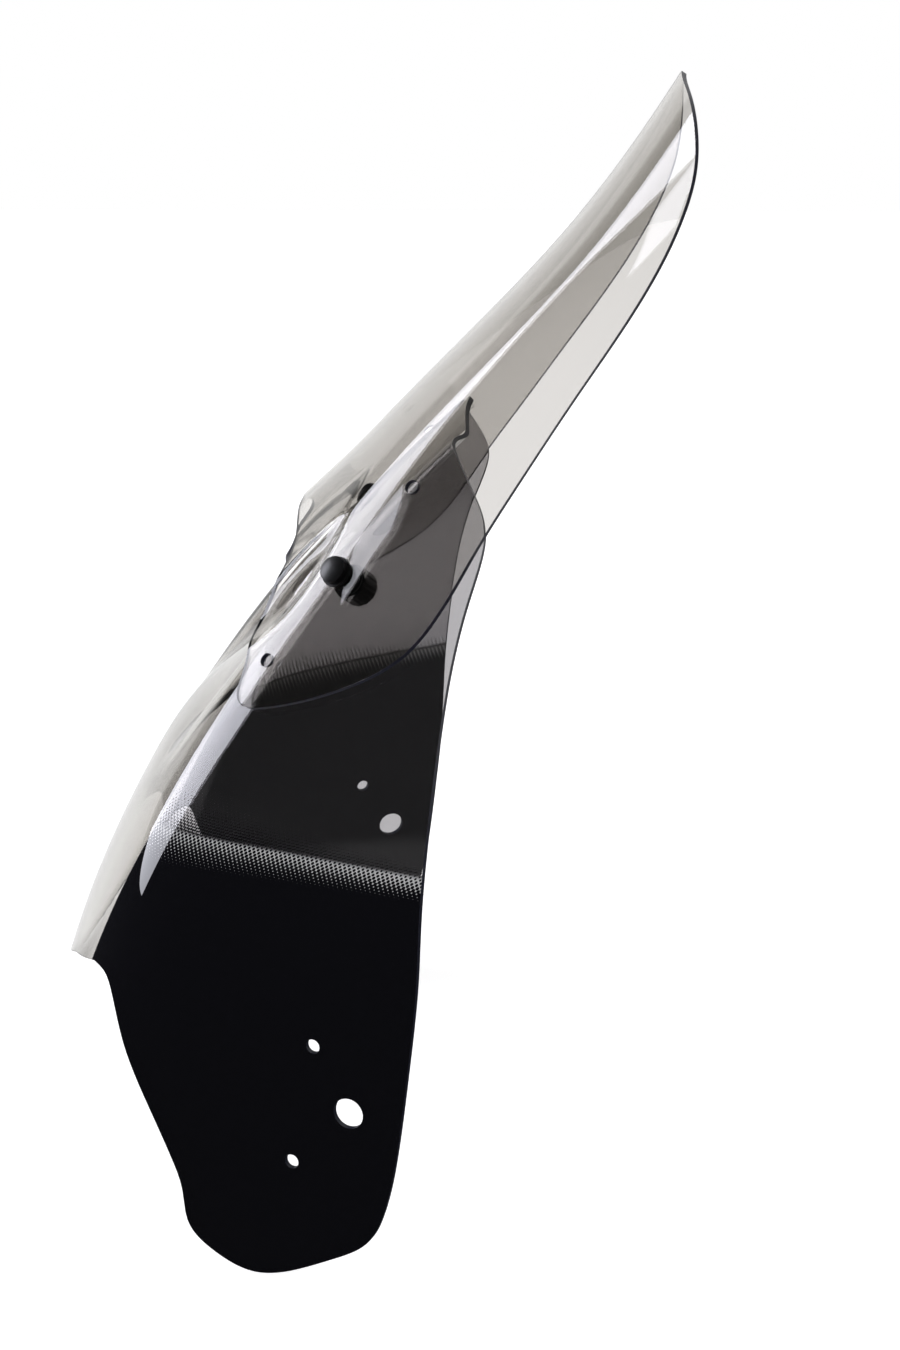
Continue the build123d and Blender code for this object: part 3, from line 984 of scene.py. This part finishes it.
@dataclass
class Studio:
    """The near-white floor, the soft lamps, the white surroundings and the camera."""

    azimuth: float = 91.6
    elevation: float = 18.9
    place: tuple[float, float, float] = (0.9965, 0.0731, 0.511)
    lens: float = 50.0
    sensor: float = 36.0
    floor_gap: float = 0.004
    floor_reach: float = 6.0
    floor_grey: float = 0.9
    floor_roughness: float = 0.9
    floor_lift: float = 0.68
    floor_turn: tuple[float, float] = (-0.6, -0.45)  # X over distance where the mirrored floor turns dark
    dark_turn: tuple[float, float] = (-0.7, -0.62)  # the ray's X where the surroundings turn dark
    dark_level: float = 0.03
    fill_level: float = 0.45
    aim: tuple[float, float, float] = (0.08, -0.02, 0.26)
    softboxes: tuple[Softbox, ...] = (
        Softbox("softbox_front", (-104.0, 19.5), (32.0, 39.0), 7.0),
        Softbox("softbox_side", (-77.0, 39.3), (17.0, 2.4), 5.0),
    )

    def camera(self) -> None:
        """The camera, level and looking down a little at the object's left flank."""
        data = bpy.data.cameras.new("camera")
        data.lens, data.sensor_width, data.sensor_fit = self.lens, self.sensor, "AUTO"
        data.dof.use_dof = False
        camera = link(bpy.data.objects.new("camera", data))
        camera.location = self.place
        camera.rotation_euler = (math.radians(90.0 - self.elevation), 0.0, math.radians(self.azimuth))
        bpy.context.scene.camera = camera

    def floor(self, height: float) -> None:
        """A white floor that keeps a soft shadow, and that mirror rays see dark before the object.

        Args:
            height: the floor's Z.
        """
        mesh = bpy.data.meshes.new("floor")
        r = self.floor_reach
        corners = [(-r, -r, height), (r, -r, height), (r, r, height), (-r, r, height)]
        mesh.from_pydata(corners, [], [(0, 1, 2, 3)])
        nodes = MaterialNodes("floor_white")
        nodes.shader.inputs["Base Color"].default_value = (*[self.floor_grey] * 3, 1.0)
        nodes.shader.inputs["Roughness"].default_value = self.floor_roughness
        nodes.shader.inputs["Emission Color"].default_value = (1.0, 1.0, 1.0, 1.0)
        rays = nodes.add("ShaderNodeLightPath").outputs
        seen = nodes.math("MAXIMUM", rays["Is Camera Ray"], rays["Is Transmission Ray"])
        nodes.feed(nodes.shader.inputs["Emission Strength"], nodes.math("MULTIPLY", seen, self.floor_lift))
        away = nodes.add("ShaderNodeVectorMath", operation="NORMALIZE")
        nodes.feed(away.inputs[0], nodes.add("ShaderNodeTexCoord").outputs["Object"])
        place = nodes.add("ShaderNodeSeparateXYZ")
        nodes.feed(place.inputs[0], away.outputs[0])
        mirrored = nodes.add("ShaderNodeEmission")
        strength = nodes.ramp(place.outputs[0], self.floor_turn, (1.0, self.dark_level))
        nodes.feed(mirrored.inputs["Strength"], strength)
        mix = nodes.add("ShaderNodeMixShader")
        nodes.feed(mix.inputs[0], nodes.math("MINIMUM", rays["Glossy Depth"], 1.0))
        nodes.feed(mix.inputs[1], nodes.shader.outputs[0])
        nodes.feed(mix.inputs[2], mirrored.outputs[0])
        nodes.feed(nodes.find("OUTPUT_MATERIAL").inputs["Surface"], mix.outputs[0])
        mesh.materials.append(nodes.material)
        link(bpy.data.objects.new("floor", mesh))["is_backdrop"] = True

    def world(self) -> None:
        """White surroundings, black on the near side for mirror rays, and a plain level of light.

        The level is 1 for sight and for rays through the acrylic. For rays that a surface has
        mirrored, then or earlier, it goes from 1 behind the object to the dark level on its near
        side, by the ray's direction along X.
        """
        world = bpy.data.worlds.new("studio")
        bpy.context.scene.world = world
        world.use_nodes = True
        nodes = Nodes(world.node_tree)
        rays = nodes.add("ShaderNodeLightPath").outputs
        direction = nodes.add("ShaderNodeSeparateXYZ")
        nodes.feed(direction.inputs[0], nodes.add("ShaderNodeTexCoord").outputs["Generated"])
        seen = nodes.math("MAXIMUM", rays["Is Camera Ray"], rays["Is Transmission Ray"])
        plain = nodes.mix(seen, self.fill_level, 1.0)
        side = nodes.ramp(direction.outputs[0], self.dark_turn, (1.0, self.dark_level))
        mirrored = nodes.math("MINIMUM", rays["Glossy Depth"], 1.0)
        background = nodes.find("BACKGROUND")
        nodes.feed(background.inputs["Strength"], nodes.mix(mirrored, plain, side))
        background.inputs["Color"].default_value = (1.0, 1.0, 1.0, 1.0)

    def lamp(self, softbox: Softbox) -> None:
        """A rectangular lamp of even brightness that faces the aim point.

        Args:
            softbox: the lamp to make.
        """
        data = bpy.data.lights.new(softbox.name, "AREA")
        width, height = (2.0 * softbox.distance * math.tan(math.radians(a / 2.0)) for a in softbox.spread)
        data.shape, data.size, data.size_y = "RECTANGLE", width, height
        data.energy = softbox.brightness * math.pi * width * height
        data.color = softbox.colour
        lamp = link(bpy.data.objects.new(softbox.name, data))
        azimuth, elevation = (math.radians(angle) for angle in softbox.direction)
        flat = math.cos(elevation)
        away = np.array([flat * math.cos(azimuth), flat * math.sin(azimuth), math.sin(elevation)])
        lamp.location = np.array(self.aim) + away * softbox.distance
        lamp.rotation_euler = aimed(-away)

    def set_up(self, lowest: float) -> None:
        """Build the whole studio.

        Args:
            lowest: the Z of the object's lowest point.
        """
        bpy.context.scene.view_settings.view_transform = "Standard"
        self.camera()
        self.floor(lowest - self.floor_gap)
        self.world()
        for softbox in self.softboxes:
            self.lamp(softbox)


def aimed(direction: np.ndarray) -> tuple[float, float, float]:
    """The turn that points an object's -Z along a direction."""
    flat = math.hypot(direction[0], direction[1])
    return math.atan2(flat, -direction[2]), 0.0, math.atan2(-direction[0], direction[1])


def main() -> None:
    """Load the frame, build each piece, dress the carried nodes and set up the studio."""
    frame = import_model()
    cad_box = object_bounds()
    logging.basicConfig(level=logging.INFO)
    # the edge finish: painted shade on the sheets' rims and hole walls
    edge = SheetEdge().material()
    clear = Acrylic("tinted_acrylic").material()
    printed = Acrylic("printed_acrylic", printed=True).material()
    for sheet, finish in ((BaseScreen(), printed), (SpoilerBlade(), clear)):
        piece = sheet.build([finish, edge])
        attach(piece, "screen")
        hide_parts(sheet.node)
    black = Moulded("black_plastic", (0.005, 0.005, 0.0055), 0.38).material()
    rubber = Moulded("black_rubber", (0.008, 0.008, 0.008), 0.6).material()
    steel = Moulded("zinc_steel", (0.55, 0.55, 0.56), 0.3, 1.0).material()
    brass = Moulded("turned_brass", (0.62, 0.45, 0.2), 0.28, 1.0).material()
    finishes = {
        "cap_washer": rubber,
        "spacer_bush": rubber,
        "inner_washer": rubber,
        "screw": steel,
        "cover_cap": black,
        "steel_washer": steel,
        "hand_knob": black,
        "knob_insert": brass,
    }
    for side in Side:
        FastenerStack(side, finishes).dress(frame["nodes"])
    Studio().set_up(cad_box[0][2])
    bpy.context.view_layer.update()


if __name__ == "__main__":
    main()
